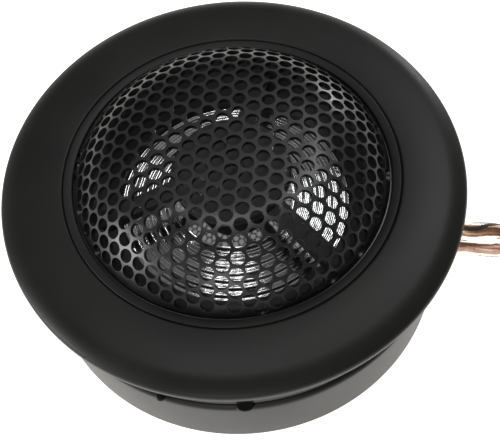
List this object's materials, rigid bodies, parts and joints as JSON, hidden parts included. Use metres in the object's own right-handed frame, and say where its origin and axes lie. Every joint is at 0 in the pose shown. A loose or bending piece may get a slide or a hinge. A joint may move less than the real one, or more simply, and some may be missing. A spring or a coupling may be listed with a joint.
{
  "type": "car tweeter",
  "caption": "Small round car tweeter with a perforated dome grille, wide trim flange, round rear cup and a clear twin lead with bare ends.",
  "frame": {"origin": "middle of the rear cup's underside, on the speaker's axis", "axes": "+Z along the speaker's axis, the way it plays; +X the way the lead leaves the cup"},
  "size_m": [0.1147, 0.0799, 0.0236],
  "materials": {
    "housing_plastic": "fine matte moulded ABS",
    "grille_paint": "semi-gloss black powder coat on perforated steel",
    "inner_plastic": "matte black moulded plastic",
    "foam": "soft black foam",
    "diaphragm_foil": "bright metallised film",
    "former_foil": "bare foil",
    "copper": "enamelled copper wire",
    "plated_steel": "zinc plated steel",
    "magnet_plating": "nickel plated neodymium",
    "felt": "pressed felt",
    "screw_steel": "black zinc",
    "tinned_brass": "tinned",
    "fibre_board": "phenolic paper board",
    "capacitor_sleeve": "shrunk film sleeve",
    "clear_insulation": "clear soft insulation over copper strands",
    "solder": "solder",
    "grommet_rubber": "matte rubber",
    "tie_nylon": "black nylon",
    "bare_strands": "twisted and tinned copper strands"
  },
  "bodies": {
    "housing": {"trim_ring": "housing_plastic", "rear_cup": "housing_plastic", "capsule_bezel": "housing_plastic", "grille": "grille_paint", "grille_gasket": "foam", "phase_plug": "inner_plastic", "surround": "diaphragm_foil", "diaphragm_ring": "inner_plastic", "yoke": "plated_steel", "magnet": "magnet_plating", "pole_plate": "plated_steel", "damping_pad": "felt", "driver_frame": "inner_plastic", "frame_screws": "screw_steel", "terminal_tabs": "tinned_brass", "terminal_board": "fibre_board", "coil_leads": "copper", "capacitor": "capacitor_sleeve", "capacitor_leads": "tinned_brass", "capacitor_pad": "foam", "lead_core_positive": "clear_insulation", "lead_core_negative": "clear_insulation", "solder_joints": "solder", "cable_grommet": "grommet_rubber", "cable": "clear_insulation", "cable_coil": "clear_insulation", "cable_tie": "tie_nylon", "bare_ends": "bare_strands"},
    "diaphragm": {"dome": "diaphragm_foil", "coil_former": "former_foil", "voice_coil": "copper"}
  },
  "joints": [
    {"name": "diaphragm_slide", "type": "slide", "parent": "housing", "child": "diaphragm", "axis": [0, 0, 1], "range_m": [-0.0003, 0.0003], "stiffness_N_per_m": 120, "deforming": ["surround"]}
  ]
}
